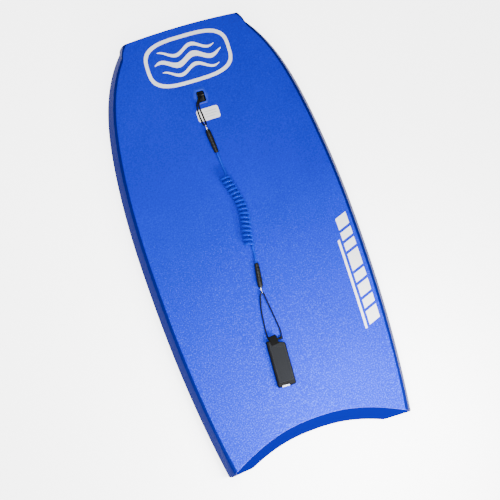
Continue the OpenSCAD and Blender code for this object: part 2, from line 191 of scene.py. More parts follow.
f = finish["stringer_composite"] = Finish("stringer_composite", (0.02, 0.02, 0.022), 0.35, Coat_Weight=0.4)
weave = f.math("MULTIPLY", f.wave(90, f.where(turn=(0, 0, 0.785))),
               f.wave(90, f.where(turn=(0, 0, -0.785))))
f.color(f.mix(weave, (0.012, 0.012, 0.013), (0.05, 0.05, 0.055)))
f.bump(weave, 0.0001)


def plastic(name, color, roughness, grain=1500, depth=0.00003, painted_pocket_shade=None, **more):
    """Moulded plastic. Given a shade colour, it takes that colour below the plug's plate: painted shade in the
    plug's pocket.
    """
    f = Finish(name, color, roughness, **more)
    if painted_pocket_shade:
        # Painted shade: the plastic below the plate's height, inside the plug's pocket, is darkened to near
        # black.
        f.color(f.mix(f.span(f.height(), 0.0665, 0.0685, 0, 1), painted_pocket_shade, color))
    else:
        f.color(f.mix(f.span(f.noise(40, 3), 0.3, 0.7, 0, 1), tuple(c * 0.86 for c in color), color))
    f.rough(f.span(f.noise(130, 4), 0.3, 0.7, roughness - 0.05, roughness + 0.07))
    f.bump(f.noise(grain, 2), depth)
    return f


finish["black_plastic"] = plastic("black_plastic", (0.012, 0.012, 0.012), 0.4)
# The plug's pocket gets painted shade, near black.
finish["plug_plastic"] = plastic("plug_plastic", (0.006, 0.030, 0.55), 0.42,
                                 painted_pocket_shade=(0.002, 0.002, 0.003), Specular_IOR_Level=0.2)
finish["grip_rubber"] = plastic("grip_rubber", (0.0055, 0.0055, 0.0052), 0.42, 900, 0.00006,
                                Specular_IOR_Level=0.25)
finish["swivel_metal"] = plastic("swivel_metal", (0.83, 0.83, 0.80), 0.2, 700, 0.00001, Metallic=1.0)
finish["leash_cord"] = plastic("leash_cord", (0.0004, 0.022, 0.55), 0.15, 500, 0.00002,
                               Specular_IOR_Level=0.14, Specular_Tint=(0.3, 0.6, 1.0))

f = finish["label_film"] = Finish("label_film", (0.86, 0.87, 0.88), 0.4)
f.color(f.mix(f.noise(160, 3), (0.80, 0.81, 0.83), (0.90, 0.90, 0.90)))
f.bump(f.noise(400, 3), 0.00005)

f = finish["print_ink"] = Finish("print_ink", (0.90, 0.90, 0.90), 0.45)
f.color(f.mix(f.span(f.noise(300, 3), 0.2, 0.5, 0, 1), (0.80, 0.82, 0.86), (0.92, 0.92, 0.92)))
f.bump(f.cells(620, "SMOOTH_F1"), 0.00012)

f = finish["label_rule"] = Finish("label_rule", (0.55, 0.56, 0.57), 0.5)
f.color(f.mix(f.noise(500, 3), (0.48, 0.49, 0.50), (0.66, 0.67, 0.68)))
finish["base_plastic"] = plastic("base_plastic", (0.0015, 0.007, 0.20), 0.35)
finish["tab_rubber"] = plastic("tab_rubber", (0.0035, 0.0035, 0.0036), 0.6, 1200, 0.00005,
                               Specular_IOR_Level=0.03)
finish["thread"] = plastic("thread", (0.011, 0.011, 0.012), 0.6, 2500, 0.00003)

# Braided string takes its pattern from UVs in millimetres; woven webbing takes its pattern from object
# coordinates.
f = finish["string_cord"] = Finish("string_cord", (0.004, 0.004, 0.0045), 0.6, Specular_IOR_Level=0.15)
braid = f.math("MULTIPLY", f.wave(0.20, f.where((1, 1, 1), (0, 0, 0.7), "UV")),
               f.wave(0.20, f.where((1, 1, 1), (0, 0, -0.7), "UV")))
f.color(f.mix(braid, (0.0025, 0.0025, 0.003), (0.009, 0.009, 0.010)))
f.bump(braid, 0.00025)

f = finish["cuff_webbing"] = Finish("cuff_webbing", (0.009, 0.010, 0.012), 0.7, Specular_IOR_Level=0.15)
flat = f.where()
ribs = f.math("MULTIPLY", f.wave(190, flat, "X"), f.wave(150, flat, "Y"))
f.color(f.mix(ribs, (0.0048, 0.0055, 0.0072), (0.0105, 0.012, 0.0155)))
f.bump(ribs, 0.0003)

f = finish["cuff_neoprene"] = Finish("cuff_neoprene", (0.003, 0.003, 0.0034), 0.75, Specular_IOR_Level=0.15)
knit = f.math("ADD", f.cells(900), f.noise(260, 3))
f.color(f.mix(f.noise(90, 3), (0.0020, 0.0020, 0.0022), (0.0045, 0.0045, 0.005)))
f.bump(knit, 0.00012)

f = finish["cuff_pile"] = Finish("cuff_pile", (0.014, 0.014, 0.015), 0.9, Sheen_Weight=0.3)
f.color(f.mix(f.noise(900, 3), (0.008, 0.008, 0.009), (0.024, 0.024, 0.025)))
f.bump(f.noise(1400, 3, 0.7), 0.0006)

f = finish["cuff_hooks"] = Finish("cuff_hooks", (0.02, 0.02, 0.02), 0.5)
f.color(f.mix(f.cells(800), (0.03, 0.03, 0.031), (0.006, 0.006, 0.006)))
f.bump(f.cells(800), 0.0006)

f = finish["tag_cloth"] = Finish("tag_cloth", (0.80, 0.80, 0.79), 0.7)
f.color(f.mix(f.noise(700, 2), (0.68, 0.68, 0.68), (0.86, 0.86, 0.85)))
f.bump(f.math("MULTIPLY", f.wave(500, f.where(), "X"), f.wave(500, f.where(), "Y")), 0.0002)


# ---- meshes ----
SHARP = 38  # degrees between two faces from which their edge stays sharp


def shade(bm, sharp):
    for face in bm.faces:
        face.smooth = True
    for edge in bm.edges:
        if len(edge.link_faces) == 2:
            edge.smooth = edge.calc_face_angle(0) < math.radians(sharp)


def piece(name, verts, faces, slot, body="board", stands_for=(), sharp=SHARP, finish_name=None):
    """A closed smooth-shaded mesh from points in millimetres, riding on its body."""
    mesh = bpy.data.meshes.new(name)
    mesh.from_pydata([tuple(c * MM for c in v) for v in verts], [], faces)
    bm = bmesh.new()
    bm.from_mesh(mesh)
    bmesh.ops.remove_doubles(bm, verts=bm.verts, dist=1e-6)
    bmesh.ops.dissolve_degenerate(bm, edges=bm.edges, dist=1e-7)
    bmesh.ops.recalc_face_normals(bm, faces=bm.faces)
    shade(bm, sharp)
    bm.to_mesh(mesh)
    bm.free()
    return dress(bpy.data.objects.new(name, mesh), slot, body, stands_for, finish_name)


def dress(obj, slot, body, stands_for=(), finish_name=None):
    """Puts a piece into the scene with its finish, named by finish_name or else by slot, on its body, and hides
    the CAD nodes it replaces.
    """
    bpy.context.scene.collection.objects.link(obj)
    obj.data.materials.clear()
    obj.data.materials.append(finish[finish_name or slot].material)
    if body:
        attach(obj, body)
    if stands_for:
        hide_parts(*stands_for)
    return obj


def arch(t):
    """A quarter circle's height at share t of its run."""
    return math.sqrt(max(0, 1 - (1 - min(1, t)) ** 2))


EDGE = (0, 0.06, 0.2, 0.45, 0.75, 1)  # shares of an edge's radius where its rounding has points


def borders(count, radius):
    """Shares from -1 to 1 with their distance from the border: rounded ends, then an even middle."""
    ends = [(-1, e * radius) for e in EDGE]
    middle = [(-1 + 2 * k / count, None) for k in range(1, count)]
    return ends + middle + [(1, e * radius) for e in reversed(EDGE)]


def across(share, half, radius):
    """Where a share from borders() lies, on a width of 2 * half."""
    at, inset = share
    return at * (half - radius) if inset is None else math.copysign(half - inset, at)


def plate(cols, rows, place, top, bottom, radius):
    """Closed plate over a lattice, with both faces' edges rounded and a wall between them.

    cols and rows are from borders(); place(col, row, z) gives the point at height z."""
    verts, index = [], {}

    def inset(a):
        return radius if a[1] is None else a[1]

    def drop(i, j):
        e = radius - min(radius, math.hypot(radius - inset(cols[j]), radius - inset(rows[i])))
        return radius * (1 - arch(e / radius))

    m, n = len(rows), len(cols)
    faces = []
    for side, z, sign in (("t", top, -1), ("b", bottom, 1)):
        for i in range(m):
            for j in range(n):
                index[side, i, j] = len(verts)
                verts.append(place(cols[j], rows[i], z + sign * drop(i, j)))
        for i in range(m - 1):
            for j in range(n - 1):
                q = [index[side, p, q] for p, q in ((i, j), (i, j + 1), (i + 1, j + 1), (i + 1, j))]
                faces.append(q if side == "t" else q[::-1])
    ring = ([(0, j) for j in range(n - 1)] + [(i, n - 1) for i in range(m - 1)]
            + [(m - 1, j) for j in range(n - 1, 0, -1)] + [(i, 0) for i in range(m - 1, 0, -1)])
    for (i, j), (p, q) in zip(ring, ring[1:] + ring[:1]):
        faces.append([index["t", i, j], index["b", i, j], index["b", p, q], index["t", p, q]])
    return verts, faces


def loft(loops):
    """Closed skin over equal loops, with a cap at each end."""
    n = len(loops[0])
    verts = [p for loop in loops for p in loop]
    faces = [[i * n + k, i * n + (k + 1) % n, (i + 1) * n + (k + 1) % n, (i + 1) * n + k]
             for i in range(len(loops) - 1) for k in range(n)]
    faces.append(list(range(n))[::-1])
    faces.append([(len(loops) - 1) * n + k for k in range(n)])
    return verts, faces


def smooth(points, step=1.5):
    """Points on a smooth curve through the given ones."""
    p = [np.array(q, float) for q in points]
    p = [2 * p[0] - p[1]] + p + [2 * p[-1] - p[-2]]
    out = []
    for a, b, c, d in zip(p, p[1:], p[2:], p[3:]):
        t0, t1 = 0.0, np.linalg.norm(b - a) ** 0.5
        t2 = t1 + np.linalg.norm(c - b) ** 0.5
        t3 = t2 + np.linalg.norm(d - c) ** 0.5
        count = max(2, int(np.linalg.norm(c - b) / step))
        for t in np.linspace(t1, t2, count, endpoint=False):
            a1 = (t1 - t) / (t1 - t0) * a + (t - t0) / (t1 - t0) * b
            a2 = (t2 - t) / (t2 - t1) * b + (t - t1) / (t2 - t1) * c
            a3 = (t3 - t) / (t3 - t2) * c + (t - t2) / (t3 - t2) * d
            b1 = (t2 - t) / (t2 - t0) * a1 + (t - t0) / (t2 - t0) * a2
            b2 = (t3 - t) / (t3 - t1) * a2 + (t - t1) / (t3 - t1) * a3
            out.append((t2 - t) / (t2 - t1) * b1 + (t - t1) / (t2 - t1) * b2)
    out.append(p[-2])
    return np.array(out)


def relax(path, passes):
    """The same path with its tightest bends eased, as a limp string takes them."""
    path = path.copy()
    for _ in range(passes):
        path[1:-1] = path[1:-1] / 2 + (path[:-2] + path[2:]) / 4
    return path


def along(path):
    """The way from the path's start to each of its points."""
    return np.concatenate([[0], np.cumsum(np.linalg.norm(np.diff(path, axis=0), axis=1))])


def at_run(path, runs, run):
    """The point at a given way along a path."""
    return np.array([np.interp(run, runs, path[:, c]) for c in range(3)])


def tube(name, path, radius, sides, slot, stands_for=()):
    """A closed tube along a path, with rounded ends and UVs in millimetres."""
    path = np.array(path, float)
    tangents = np.gradient(path, axis=0)
    tangents /= np.linalg.norm(tangents, axis=1)[:, None]
    side = np.cross(tangents[0], (0.1, 0.2, 1))
    rings = []
    for p, t, run in zip(path, tangents, along(path)):
        side = side - t * side.dot(t)
        side /= np.linalg.norm(side)
        rings.append((p, side.copy(), np.cross(t, side), radius, run))

    def cap(end, way, a):
        """A smaller ring past one end, at share a of the rounding."""
        p, s, u, r, run = end
        return (p + way * r * 0.45 * a, s, u, r * math.sqrt(1 - a * a), run)

    first, last = rings[0], rings[-1]
    rings = ([cap(first, -tangents[0], a) for a in (0.95, 0.75, 0.35)] + rings
             + [cap(last, tangents[-1], a) for a in (0.35, 0.75, 0.95)])
    verts, faces, uvs = [], [], []
    w = 2 * math.pi * radius
    for p, s, u, r, _ in rings:
        for k in range(sides):
            a = 2 * math.pi * k / sides
            verts.append((p + r * (math.cos(a) * s + math.sin(a) * u)) * MM)
    for i in range(len(rings) - 1):
        for k in range(sides):
            q = (k + 1) % sides
            faces.append([i * sides + k, i * sides + q, (i + 1) * sides + q, (i + 1) * sides + k])
            low, high = rings[i][4], rings[i + 1][4]
            uvs += [(w * k / sides, low), (w * (k + 1) / sides, low), (w * (k + 1) / sides, high),
                    (w * k / sides, high)]
    faces += [list(range(sides))[::-1], [(len(rings) - 1) * sides + k for k in range(sides)]]
    uvs += [(0, 0)] * (2 * sides)
    mesh = bpy.data.meshes.new(name)
    mesh.from_pydata([tuple(v) for v in verts], [], faces)
    layer = mesh.uv_layers.new(name="UVMap")
    layer.data.foreach_set("uv", np.array(uvs, np.float32).ravel())
    mesh.polygons.foreach_set("use_smooth", [True] * len(mesh.polygons))
    mesh.update()
    return dress(bpy.data.objects.new(name, mesh), slot, "board", stands_for)


# ---- cords, on part.scad's routes ----
STRING_R = 2.0
CORD_R = 2.75
string_upper_route = [
    (-8.6, 361.5, 70.6), (-11, 357.5, 73.3), (-15, 352, 74.2), (-20.5, 344, 73.2), (-23, 334, 70.2),
    (-23.6, 324, 68.2), (-23.4, 314, 67), (-22.8, 303, 66.5), (-22.2, 294, 67.6), (-21.3, 289, 68.8),
    (-17.9, 286.8, 69.1), (-14.5, 289.3, 69), (-14.2, 295, 67.9), (-14.6, 303, 66.5), (-15.4, 314, 67),
    (-16.4, 325, 68.2), (-17.2, 335, 70.2), (-15.5, 344.5, 73.2), (-10, 352, 73.4), (-4.2, 360, 70.2)]
cord_upper_route = [(-12.2, 214, 64.8), (-11.2, 202, 63.6), (-10, 188, 61.2), (-9, 172, 59.7)]
coil_route = [(-16.5, 152, 69.8), (-9.5, 122, 69.7), (-3, 97, 69.7), (0.5, 75, 69.7), (1, 54, 69.7),
              (-2, 34, 69.7), (-7, 14, 69.7), (-11, -6, 69.7), (-14.5, -30, 69.7)]
cord_lower_route = [(-6.2, -38, 59.6), (-7, -48, 60), (-8.8, -60, 61.8), (-10.2, -69, 63),
                    (-11.2, -74.5, 63.3)]
string_lower_route = [
    (-13.5, -264.6, 60.9), (-10.6, -256, 60.2), (-9.8, -246, 58.8), (-10.6, -232, 58.2), (-12, -216, 58.2),
    (-13.6, -200, 58.2), (-15.2, -184, 58.6), (-17, -169, 60), (-18.3, -157, 61.9), (-19.5, -149.6, 63),
    (-22.9, -146.6, 63.3), (-26.4, -148.6, 63), (-29, -155, 62), (-31.8, -164, 60.6), (-35.4, -178, 58.8),
    (-38.6, -193, 58.2), (-41, -210, 58.2), (-43, -226, 58.2), (-44.6, -240, 58.6), (-45.4, -250, 59.4),
    (-45.3, -258.3, 60.3), (-44.5, -261.4, 60.5), (-42.2, -263.6, 60.6), (-39.2, -264.4, 60.6),
    (-30, -265, 60.6), (-18.6, -265.8, 60.6)]


def helix(axis_route, radius, start, end, per_turn=24):
    """A helix round a smooth axis, from angle start to end in degrees."""
    axis = smooth(axis_route, 1.0)
    runs = along(axis)
    steps = int(abs(end - start) / 360 * per_turn)
    out = []
    for k in range(steps + 1):
        s = runs[-1] * k / steps
        centre, ahead, back = (at_run(axis, runs, q) for q in (s, min(s + 2, runs[-1]), max(s - 2, 0)))
        t = (ahead - back) / np.linalg.norm(ahead - back)
        side = np.cross((0, 0, 1), t)
        side /= np.linalg.norm(side)
        up = np.cross(t, side)
        a = math.radians(start + (end - start) * k / steps)
        out.append(centre + radius * (math.cos(a) * side + math.sin(a) * up))
    return out


def cord(obj, path, radius, **facts):
    path = np.array(path)
    [tuple(p) for p in path * MM]


coil = helix(coil_route, 10.75, -88, -6150)
leash_path = smooth(cord_upper_route + [(-7.8, 161.5, 59.1), (-10.2, 153.6, 59.0)]
                    + coil[1:] + cord_lower_route, 1.2)
leash = tube("leash_cord", leash_path, CORD_R, 16, "leash_cord",
             stands_for=("cord_upper", "leash_coil", "cord_lower"))
upper_path = relax(smooth(string_upper_route), 3)
upper = tube("string_upper_braid", upper_path, STRING_R, 12, "string_cord", stands_for=("string_upper",))
lower_path = relax(smooth(string_lower_route), 3)
lower = tube("string_lower_braid", lower_path, STRING_R, 12, "string_cord", stands_for=("string_lower",))

# ---- the board's shape, as in part.scad ----
HALF_LEN, HALF_WIDE, HALF_NOSE, HALF_TAIL, THICK = 540, 278, 161, 241, 54
RAIL_Z, CHINE, UNDER, STRIP, DECK_T, SLICK_T = 27, 14, 12, 5, 5, 2
WIDEST_Y = 10
ROCKER_Y, ROCKER_RISE, ROCKER_POWER = 120, 45, 2.2
CROWN = 2
SEAM = 0.15


def outline(y):
    """Half the board's width at y."""
    if y < WIDEST_Y:
        return HALF_WIDE - (HALF_WIDE - HALF_TAIL) * ((WIDEST_Y - y) / (HALF_LEN + WIDEST_Y)) ** 2.3
    t = (y - WIDEST_Y) / (HALF_LEN - WIDEST_Y)
    return HALF_WIDE - (HALF_WIDE - HALF_NOSE) * (0.53 * t ** 2 + 0.47 * t ** 7)


def rocker(y):
    """How far the nose lifts at y."""
    return ROCKER_RISE * max(0, (y - ROCKER_Y) / (HALF_LEN - ROCKER_Y)) ** ROCKER_POWER


def rocker_slope(y):
    run = HALF_LEN - ROCKER_Y
    return math.atan(ROCKER_RISE * ROCKER_POWER / run * max(0, (y - ROCKER_Y) / run) ** (ROCKER_POWER - 1))


def corner_cut(x, half, r):
    """How far a corner of radius r draws the end back at x."""
    return r - math.sqrt(r * r - min(r, max(0, abs(x) - half + r)) ** 2)


def tail_cut(x, z):
    u = min(1, abs(x) / HALF_TAIL)
    crescent = 68 * math.cos(math.pi / 2 * u ** 1.15)
    return corner_cut(x, HALF_TAIL, 5) + max(0, crescent - 32 * (1 - z / THICK))


def nose_cut(x, z):
    return corner_cut(x, HALF_NOSE, 12) + 6 * (x / HALF_NOSE) ** 2 + 3 * z / THICK


def behind_strip(z):
    """Inset of the rail strips' inner face at height z."""
    if z > RAIL_Z:
        return STRIP + 1 + CHINE * (z - RAIL_Z) / (THICK - RAIL_Z)
    return STRIP + 1 + UNDER * (RAIL_Z - z) / RAIL_Z


def crown(x, half):
    return CROWN * (1 - min(1, abs(x) / half) ** 2)


def ripple(x, y):
    """The deck sheet's slow unevenness. It fades out at the edges and where the cuff's fold swings."""
    edge = min(1, max(0, outline(y) - 24 - abs(x)) / 30) * min(1, max(0, 520 - y) / 30)
    edge *= min(1, max(0, y + 530 - tail_cut(x, THICK)) / 30)
    edge *= min(1, max(0, math.hypot(x + 39, y + 381) - 32) / 30)
    return 0.28 * edge * noise.noise((x / 70, y / 110, 3.7))


def deck_z(x, y):
    return THICK + rocker(y) + crown(x, outline(y) - CHINE - STRIP) + ripple(x, y)


def station(ref, x, z):
    """y of the point that lies at ref, from -540 to 540, between the tail's and the nose's walls."""
    tail, nose = -HALF_LEN + tail_cut(x, z), HALF_LEN - nose_cut(x, z)
    if ref < -HALF_LEN + STRIP:
        return tail + ref + HALF_LEN
    if ref > HALF_LEN - STRIP:
        return nose - HALF_LEN + ref
    return tail + STRIP + (nose - tail - 2 * STRIP) * (ref + HALF_LEN - STRIP) / (2 * (HALF_LEN - STRIP))


def refs(count, radius_tail, radius_nose):
    """Stations for plate(): rounded ends, close together towards the nose corners."""
    tail = [(-HALF_LEN + e * radius_tail, e * radius_tail) for e in EDGE]
    nose = [(HALF_LEN - e * radius_nose, e * radius_nose) for e in reversed(EDGE)]
    inner = [(-HALF_LEN + 2 * HALF_LEN * (1 - (1 - k / count) ** 1.25), None) for k in range(1, count)]
    return tail + [r for r in inner if -HALF_LEN + 6 < r[0] < HALF_LEN - 6] + nose


def board_place(gap, crowned, radius):
    """place() for a sheet across the board whose sides stop a gap short of the rail strips."""
    def place(col, row, z):
        ref, z = row[0], min(THICK, max(0, z))
        w = outline(ref)
        x = across(col, w - behind_strip(z) - gap, radius)
        y = station(ref, x, z)
        up = rocker(y)
        if crowned:
            up += crown(x, w - CHINE - STRIP)
        if crowned and z > THICK - 2.5:
            up += ripple(x, y)
        return (x, y, z + up)
    return place


# ---- board pieces ----
PLUG_X, PLUG_Y, POCKET_Y = -4, 362, -2.5
PLUG_Z = THICK + CROWN
PLUG_DEPTH = PLUG_Z * math.cos(rocker_slope(PLUG_Y))


def at_plug(p):
    tilt = rocker_slope(PLUG_Y)
    c, s = math.cos(tilt), math.sin(tilt)
    return (PLUG_X + p[0], PLUG_Y + p[1] * c - p[2] * s, PLUG_Z + rocker(PLUG_Y) + p[1] * s + p[2] * c)


def ring(radius, z, count=48):
    return [at_plug((radius * math.cos(2 * math.pi * k / count), radius * math.sin(2 * math.pi * k / count), z))
            for k in range(count)]


def bore(target, radii):
    """Cuts a round hole through a piece, along the plug's axis. radii are (radius, z) steps."""
    verts, faces = loft([ring(r, z) for r, z in radii])
    mesh = bpy.data.meshes.new("cutter")
    mesh.from_pydata([tuple(c * MM for c in v) for v in verts], [], faces)
    bm = bmesh.new()
    bm.from_mesh(mesh)
    bmesh.ops.recalc_face_normals(bm, faces=bm.faces)
    bm.to_mesh(mesh)
    bm.free()
    cutter = bpy.data.objects.new("cutter", mesh)
    bpy.context.scene.collection.objects.link(cutter)
    modifier = target.modifiers.new("bore", "BOOLEAN")
    modifier.operation = "DIFFERENCE"
    modifier.solver = "EXACT"
    modifier.object = cutter
    bpy.context.view_layer.update()
    result = bpy.data.meshes.new_from_object(target.evaluated_get(bpy.context.evaluated_depsgraph_get()))
    target.modifiers.clear()
    target.data = result
    bpy.data.objects.remove(cutter)
    bm = bmesh.new()
    bm.from_mesh(result)
    shade(bm, SHARP)
    bm.to_mesh(result)
    bm.free()


DECK_R, SLICK_R = 1.6, 0.6
verts, faces = plate(borders(56, DECK_R), refs(150, DECK_R, DECK_R), board_place(SEAM, True, DECK_R),
                     THICK, THICK - DECK_T, DECK_R)
deck = piece("deck_sheet", verts, faces, "deck_foam", stands_for=("deck_skin",))
bore(deck, [(18.1, -30), (18.1, 12)])

verts, faces = plate(borders(36, SLICK_R), refs(110, SLICK_R, SLICK_R), board_place(SEAM, False, SLICK_R),
                     SLICK_T, 0, SLICK_R)
slick = piece("slick_sheet", verts, faces, "slick_sheet", stands_for=("slick_bottom",))
bore(slick, [(13.15, -70), (13.15, -30)])


def bezier(a, b, c, count):
    """Points from a to c on the curve that b pulls outwards, to round a corner."""
    t = np.linspace(0, 1, count)[:, None]
    return [tuple(p) for p in (1 - t) ** 2 * np.array(a, float) + 2 * t * (1 - t) * np.array(b, float)
            + t ** 2 * np.array(c, float)]


def line(a, b, count):
    return [tuple(p) for p in np.linspace(a, b, count)]


def rail(name, section, side, stands_for):
    """A strip along one side. section runs round it as (inset from the outline, z)."""
    r, centre = 1.2, np.mean(section, axis=0)
    ends = [e * r for e in EDGE[:-1]]
    inner = [-HALF_LEN + 2 * HALF_LEN * (1 - (1 - k / 150) ** 1.25) for k in range(1, 150)]
    rows = ([-HALF_LEN + e for e in ends] + [-HALF_LEN + r, -HALF_LEN + 3.2, -HALF_LEN + STRIP]
            + [y for y in inner if -HALF_LEN + 7 < y < HALF_LEN - 6]
            + [HALF_LEN - STRIP, HALF_LEN - 3.2, HALF_LEN - r] + [HALF_LEN - e for e in reversed(ends)])
    loops = []
    for ref in rows:
        end = min(HALF_LEN - ref, ref + HALF_LEN, r)
        shrink = r - math.sqrt(max(0, r * r - (r - end) ** 2))
        loop = []
        for inset, z in section:
            to = centre - (inset, z)
            inset, z = np.array((inset, z)) + to / np.linalg.norm(to) * shrink
            x = side * (outline(ref) - inset)
            y = station(ref, x, z)
            loop.append((x, y, z + rocker(y)))
        loops.append(loop)
    verts, faces = loft(loops)
    return piece(name, verts, faces, "rail_foam", stands_for=stands_for, sharp=50)


upper_section = (
    [(6, 27.1), (behind_strip(34), 34), (behind_strip(44), 44), (19.95, 53)]
    + bezier((19.9, 53.3), (19.9, 54), (19.2, 54), 4) + [(18.2, 54)]
    + bezier((17.4, 54), (14, 54), (12.4, 50.9), 8)
    + line((11.4, 49), (1.6, 30.1), 7)
    + bezier((0.75, 28.45), (0, 27.05), (1.3, 27.1), 6) + [(3.4, 27.1)])
lower_section = (
    [(6, 26.9), (3.4, 26.9)] + bezier((1.3, 26.9), (0, 26.95), (0.7, 25.4), 6)
    + line((1.6, 23.4), (9.6, 5.4), 6) + bezier((10.4, 3.6), (12, 0), (16, 0), 8)
    + bezier((17.4, 0), (18, 0), (17.9, 0.6), 4) + [(17.1, 2.2), (behind_strip(14), 14)])
for word, side in (("left", -1), ("right", 1)):
    rail("rail_top_" + word, upper_section, side, ("rail_upper_" + word,))
    rail("rail_under_" + word, lower_section, side, ("rail_lower_" + word,))


def end_wrap(name, slot, nose, stands_for):
    """The strip on one end's wall, between the deck sheet, the slick sheet and the rail strips."""
    r = 0.7

    def place(col, row, depth):
        low, high = SLICK_T + SEAM, THICK - DECK_T - SEAM
        z = low + (high - low) * row[0] if row[1] is None else (
            low + row[1] if row[0] < 0.5 else high - row[1])
        ref = HALF_LEN - depth if nose else -HALF_LEN + depth
        x = across(col, outline(ref) - behind_strip(z) - SEAM, r)
        y = station(ref, x, z)
        return (x, y, z + rocker(y) + crown(x, outline(ref) - CHINE - STRIP) * z / (THICK - DECK_T))

    rows = ([(0, e * r) for e in EDGE] + [(k / 12, None) for k in range(1, 12)]
            + [(1, e * r) for e in reversed(EDGE)])
    verts, faces = plate(borders(90, r), rows, lambda c, w, z: place(c, w, STRIP - z), STRIP, 0, r)
    return piece(name, verts, faces, slot, stands_for=stands_for)


end_wrap("tail_wrap", "tail_foam", False, ("tail_strip",))
end_wrap("nose_wrap", "rail_foam", True, ("nose_strip",))


# ---- prints and the label, on the deck ----
def band(name, left, right, finish_name="print_ink", up=0.25, cells=3):
    """A thin closed film on the deck between two equal rows of (x, y) points."""
    rows = [[tuple(np.array(a) + (np.array(b) - np.array(a)) * k / cells) for k in range(cells + 1)]
            for a, b in zip(left, right)]
    n = cells + 1
    verts = [(x, y, deck_z(x, y) + up) for row in rows for x, y in row]
    verts += [(x, y, deck_z(x, y) - 0.2) for row in rows for x, y in row]
    m, half = len(rows), len(rows) * n
    closed = np.linalg.norm(np.array(rows[0]) - np.array(rows[-1])) < 1e-6
    faces = []
    for i in range(m - 1):
        a, b = i * n, (i + 1) * n
        for k in range(cells):
            faces += [[a + k, a + k + 1, b + k + 1, b + k],
                      [half + a + k, half + b + k, half + b + k + 1, half + a + k + 1]]
        c, d = a + cells, b + cells
        faces += [[a, b, half + b, half + a], [c, half + c, half + d, d]]
    if not closed:
        for i in (0, m - 1):
            a = i * n
            faces += [[a + k, a + k + 1, half + a + k + 1, half + a + k] for k in range(cells)]
    piece(name, verts, faces, "label_film", finish_name=finish_name)


def pill(cx, cy, half_w, half_h, count=160):
    """A closed rounded band's line: a superellipse about (cx, cy)."""
    out = []
    for k in range(count + 1):
        a = 2 * math.pi * k / count
        c, s = math.cos(a), math.sin(a)
        out.append((cx + half_w * math.copysign(abs(c) ** 0.62, c),
                    cy + half_h * math.copysign(abs(s) ** 0.62, s)))
    return out


badge = (-5, 457)
band("print_nose_ring", pill(*badge, 110, 60), pill(*badge, 101.5, 51.5))
for k, (rise, thick, reach) in enumerate(((24, 4.5, 72), (0, 7, 86), (-25, 4.5, 72))):
    xs = np.linspace(-reach, reach, 64)
    wave = [badge[1] + rise + 8.5 * math.sin(2 * math.pi * x / 86 + 0.5) for x in xs]
    taper = [math.sqrt(max(0.03, 1 - (x / reach) ** 2)) for x in xs]
    band("print_nose_wave_%d" % (k + 1), *([(badge[0] + x, y + side * thick * t)
                                            for x, y, t in zip(xs, wave, taper)] for side in (1, -1)))


SIDE_PRINT = 288


def side_point(v, u):
    """v mm along the side print from its nose end, u mm in from its outer edge."""
    t = v / SIDE_PRINT
    return (250 - 9 * t ** 1.6 - u, -22 - SIDE_PRINT * t - u * 0.06)


slant = 9
v = 0.0
for k, width in enumerate((30, 20, 20, 44, 22, 30, 22, 34)):
    top = [side_point(v + d, 2) for d in np.linspace(0, width, 10)]
    low = [side_point(v + d + slant, 33) for d in np.linspace(0, width, 10)]
    band("print_side_block_%d" % (k + 1), top, low, cells=6)
    v += width + 7.5
band("print_side_stripe", [side_point(d, 40) for d in np.linspace(60, SIDE_PRINT, 50)],
     [side_point(d, 46) for d in np.linspace(62, SIDE_PRINT, 50)])


def rounded(col, row, half_x, half_y, edge, corner):
    """x and y in a rectangle with round corners."""
    x, y = across(col, half_x, edge), across(row, half_y, edge)
    return x, math.copysign(min(abs(y), half_y - corner_cut(x, half_x, corner)), y)


LABEL_Y, LABEL_EDGE = 314, 0.1


def label_place(col, row, z):
    x, y = rounded(col, row, 28.5, 15.5, LABEL_EDGE, 5)
    return (x, LABEL_Y + y, deck_z(x, LABEL_Y + y) + z)


verts, faces = plate(borders(30, LABEL_EDGE), borders(18, LABEL_EDGE), label_place, 0.5, -0.2, LABEL_EDGE)
piece("label_blank", verts, faces, "label_film", stands_for=("deck_label",))
for k in range(3):
    y = 321 - 6.5 * k
    xs = np.linspace(-8, 22 - 6 * (k == 2), 12)
    band("label_rule_%d" % (k + 1), [(x, y) for x in xs], [(x, y - 1.6) for x in xs],
         finish_name="label_rule", up=0.58)


# ---- leash plug ----
SIDES = 144
HEX_SIDES = ((0, 1, 20.5), (0.9464, 0.3232, 18.45), (0.9464, -0.3232, 18.45))  # normal and distance


def hex_radius(a, grow=0.0):
    """Distance to a rounded six-sided outline, with its widest corners at the middle."""
    best, soft = 1e9, 0.0
    for nx, ny, d in HEX_SIDES:
        dot = abs(nx * math.cos(a) + ny * math.sin(a))
        if dot > 1e-6:
            best = min(best, (d + grow) / dot)
        soft += (dot / (d + grow)) ** 26
    return min(best, soft ** (-1 / 26))


def pocket_radius(a, grow=0.0):
    """Distance to the pocket's rounded rectangle, 20 by 28 mm."""
    c, s = abs(math.cos(a)) / (10 + grow), abs(math.sin(a)) / (14 + grow)
    return (c ** 7 + s ** 7) ** (-1 / 7)


def facet_radius(a, rise):
    """The plate's sloped sides at share rise of their height, kept outside the pocket's rim."""
    return max(hex_radius(a, -4.6 * rise), pocket_radius(a, 1.2) + POCKET_Y * math.sin(a))


def plug_loop(reach, z, shift=0.0):
    """A loop round the plug's axis: reach(angle) from a centre moved by shift, at height z."""
    out = []
    for k in range(SIDES):
        a = 2 * math.pi * (k + 0.5) / SIDES
        r = reach(a)
        out.append(at_plug((r * math.cos(a), shift + r * math.sin(a), z)))
    return out


